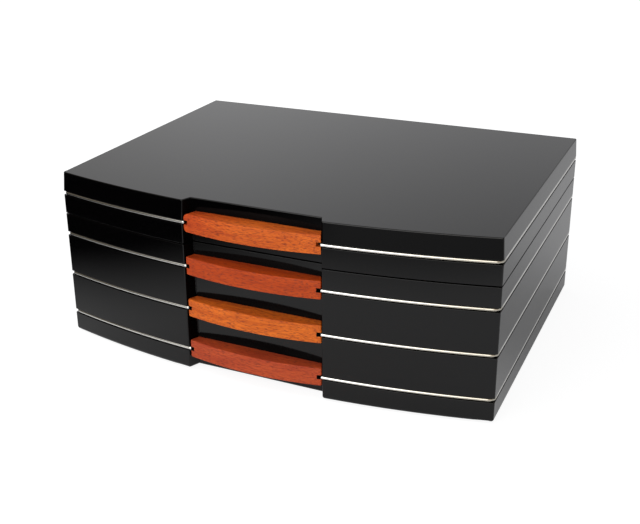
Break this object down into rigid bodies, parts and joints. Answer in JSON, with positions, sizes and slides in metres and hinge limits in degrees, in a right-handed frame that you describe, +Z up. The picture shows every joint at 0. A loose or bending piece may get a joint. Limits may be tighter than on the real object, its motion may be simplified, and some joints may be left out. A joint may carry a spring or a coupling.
{
  "type": "humidor",
  "caption": "Lidded tabletop humidor with a bowed and recessed lacquer front, hardwood bar pulls, inlaid metal rods and a cedar-lined well with trays.",
  "frame": {"origin": "on the table, under the middle of the box's overall length and depth", "axes": "+X to the right as seen from the front, -Y towards the front with the pulls, +Z up"},
  "size_m": [0.44, 0.3394, 0.1735],
  "materials": {
    "lacquer": "black high-gloss lacquer over board",
    "hardwood": "oiled orange-red hardwood with dark pores",
    "steel": "polished stainless steel",
    "cedar": "bare sanded cedar",
    "brass": "polished brass",
    "felt": "black wool felt",
    "dial": "matt off-white dial with plain marks",
    "needle": "black painted metal",
    "glass": "clear flat glass",
    "black_plastic": "black moulded plastic",
    "foam": "green water-holding foam"
  },
  "bodies": {
    "case": {"case_front": "lacquer", "case_left": "lacquer", "case_right": "lacquer", "case_back": "lacquer", "case_base": "lacquer", "base_felt": "felt", "lower_rod_left": "steel", "lower_rod_right": "steel", "middle_rod_left": "steel", "middle_rod_right": "steel", "upper_rod_left": "steel", "upper_rod_right": "steel", "lower_pull": "hardwood", "middle_pull": "hardwood", "upper_pull": "hardwood", "body_pull_screws": "steel", "lining_floor": "cedar", "lining_front": "cedar", "lining_back": "cedar", "lining_left": "cedar", "lining_right": "cedar", "tray_ledge_front": "cedar", "tray_ledge_back": "cedar", "tray_frame_left": "cedar", "tray_floor_left": "cedar", "tray_frame_right": "cedar", "tray_floor_right": "cedar", "hinge_case_leaf_left": "brass", "hinge_case_leaf_right": "brass", "hinge_pin_left": "brass", "hinge_pin_right": "brass", "hinge_case_screws": "brass"},
    "lid": {"lid_top": "lacquer", "lid_front": "lacquer", "lid_left": "lacquer", "lid_right": "lacquer", "lid_back": "lacquer", "lid_pull": "hardwood", "lid_pull_screws": "steel", "lid_rod_left": "steel", "lid_rod_right": "steel", "lid_lining_panel": "cedar", "lid_lining_frame": "cedar", "hinge_lid_leaf_left": "brass", "hinge_lid_leaf_right": "brass", "hinge_lid_screws": "brass", "hygrometer_can": "brass", "hygrometer_dial": "dial", "hygrometer_glass": "glass", "hygrometer_bezel": "brass", "humidifier_case": "black_plastic", "humidifier_foam": "foam", "humidifier_grille": "black_plastic"},
    "well_divider_left": {"well_divider_left": "cedar"},
    "well_divider_right": {"well_divider_right": "cedar"},
    "tray_divider_left": {"tray_divider_left": "cedar"},
    "tray_divider_right": {"tray_divider_right": "cedar"},
    "needle": {"hygrometer_needle": "needle"}
  },
  "joints": [
    {"name": "lid_hinge", "type": "hinge", "parent": "case", "child": "lid", "pos_m": [0, 0.16675, 0.1305], "axis": [-1, 0, 0], "range_deg": [0, 95]},
    {"name": "well_divider_left_slide", "type": "slide", "parent": "case", "child": "well_divider_left", "axis": [1, 0, 0], "range_m": [-0.12, 0.06]},
    {"name": "well_divider_right_slide", "type": "slide", "parent": "case", "child": "well_divider_right", "axis": [1, 0, 0], "range_m": [-0.06, 0.12]},
    {"name": "tray_divider_left_slide", "type": "slide", "parent": "case", "child": "tray_divider_left", "axis": [0, 1, 0], "range_m": [-0.115, 0.115]},
    {"name": "tray_divider_right_slide", "type": "slide", "parent": "case", "child": "tray_divider_right", "axis": [0, 1, 0], "range_m": [-0.115, 0.115]},
    {"name": "needle_turn", "type": "hinge", "parent": "lid", "child": "needle", "pos_m": [0, -0.04575, 0.158], "axis": [0, 0, 1], "range_deg": [-135, 135]}
  ]
}
